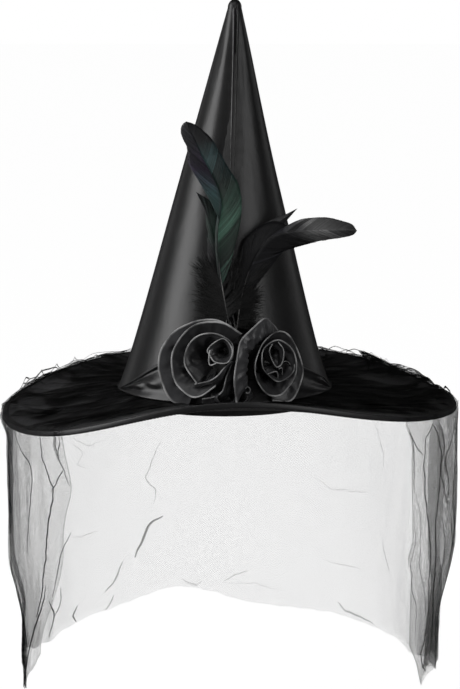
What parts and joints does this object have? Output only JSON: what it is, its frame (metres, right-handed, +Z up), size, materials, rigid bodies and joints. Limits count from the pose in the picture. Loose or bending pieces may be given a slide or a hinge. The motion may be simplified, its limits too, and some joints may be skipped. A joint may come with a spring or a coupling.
{
  "type": "witch hat",
  "caption": "Cone-shaped witch hat with a wired saddle brim, a hanging tulle veil, rolled ribbon roses and a spray of swaying feathers.",
  "frame": {"origin": "centre of the head opening, in the plane where the crown meets the brim", "axes": "+Z up the crown, the wearer faces -Y, +X is the wearer's left"},
  "size_m": [0.4226, 0.4138, 0.6095],
  "materials": {
    "crown_satin": "satin, glossy black",
    "seam_tape": "matt woven tape",
    "buckram": "stiff open weave, sized",
    "lining": "smooth lining cloth",
    "grosgrain": "ribbed ribbon",
    "swag_satin": "soft satin",
    "brim_fabric": "satin under net",
    "brim_under_fabric": "matt black cloth",
    "interlining_felt": "needled felt",
    "binding_tape": "folded satin tape",
    "steel_wire": "plain spring wire",
    "steel_sleeve": "crimped tube",
    "tulle": "fine open net",
    "rose_ribbon": "satin ribbon with bright folds",
    "black_felt": "wool felt",
    "quill": "dark horn",
    "green_feather": "iridescent green and violet black",
    "grey_feather": "grey-black sheen",
    "dark_feather": "blue-black sheen",
    "down": "loose downy barbs",
    "binding_thread": "waxed thread"
  },
  "bodies": {
    "hat": {"crown_gore_left": "crown_satin", "crown_gore_right": "crown_satin", "crown_front_seam_tape": "seam_tape", "crown_back_seam_tape": "seam_tape", "crown_stiffener": "buckram", "crown_lining": "lining", "sweatband": "grosgrain", "front_swag": "swag_satin", "brim_top_fabric": "brim_fabric", "brim_interlining": "interlining_felt", "brim_under_fabric": "brim_under_fabric", "brim_edge_binding": "binding_tape", "brim_edge_wire": "steel_wire", "wire_joining_sleeve": "steel_sleeve", "veil_on_brim": "tulle", "rose_left_centre_roll": "rose_ribbon", "rose_left_inner_petal": "rose_ribbon", "rose_left_middle_petal": "rose_ribbon", "rose_left_outer_petal": "rose_ribbon", "rose_left_felt_backing": "black_felt", "rose_right_centre_roll": "rose_ribbon", "rose_right_inner_petal": "rose_ribbon", "rose_right_middle_petal": "rose_ribbon", "rose_right_outer_petal": "rose_ribbon", "rose_right_felt_backing": "black_felt", "ribbon_loops": "rose_ribbon", "mount_patch": "black_felt", "spray_binding": "binding_thread"},
    "veil": {"veil_drape": "tulle"},
    "feather_tall": {"feather_tall_quill": "quill", "feather_tall_vane": "green_feather", "feather_tall_down": "down"},
    "feather_short": {"feather_short_quill": "quill", "feather_short_vane": "green_feather"},
    "feather_curl": {"feather_curl_quill": "quill", "feather_curl_vane": "grey_feather", "feather_curl_down": "down"},
    "feather_spike": {"feather_spike_quill": "quill", "feather_spike_vane": "dark_feather"}
  },
  "joints": [
    {"name": "veil_sway", "type": "slide", "parent": "hat", "child": "veil", "axis": [0, 1, 0], "range_m": [-0.025, 0.025], "stiffness_N_per_m": 3},
    {"name": "feather_tall_bend", "type": "hinge", "parent": "hat", "child": "feather_tall", "pos_m": [0.0058, -0.08852, 0.06318], "axis": [0, -0.9677, 0.2521], "range_deg": [-8, 8], "stiffness_Nm_per_rad": 0.1},
    {"name": "feather_short_bend", "type": "hinge", "parent": "hat", "child": "feather_short", "pos_m": [0.0102, -0.08562, 0.06242], "axis": [0, -0.9677, 0.2521], "range_deg": [-7, 7], "stiffness_Nm_per_rad": 0.1},
    {"name": "feather_curl_bend", "type": "hinge", "parent": "hat", "child": "feather_curl", "pos_m": [0.0104, -0.08271, 0.06166], "axis": [0, -0.9677, 0.2521], "range_deg": [-8, 7], "stiffness_Nm_per_rad": 0.1},
    {"name": "feather_spike_bend", "type": "hinge", "parent": "hat", "child": "feather_spike", "pos_m": [0.0056, -0.07981, 0.06091], "axis": [0, -0.9677, 0.2521], "range_deg": [-7, 7], "stiffness_Nm_per_rad": 0.1}
  ]
}
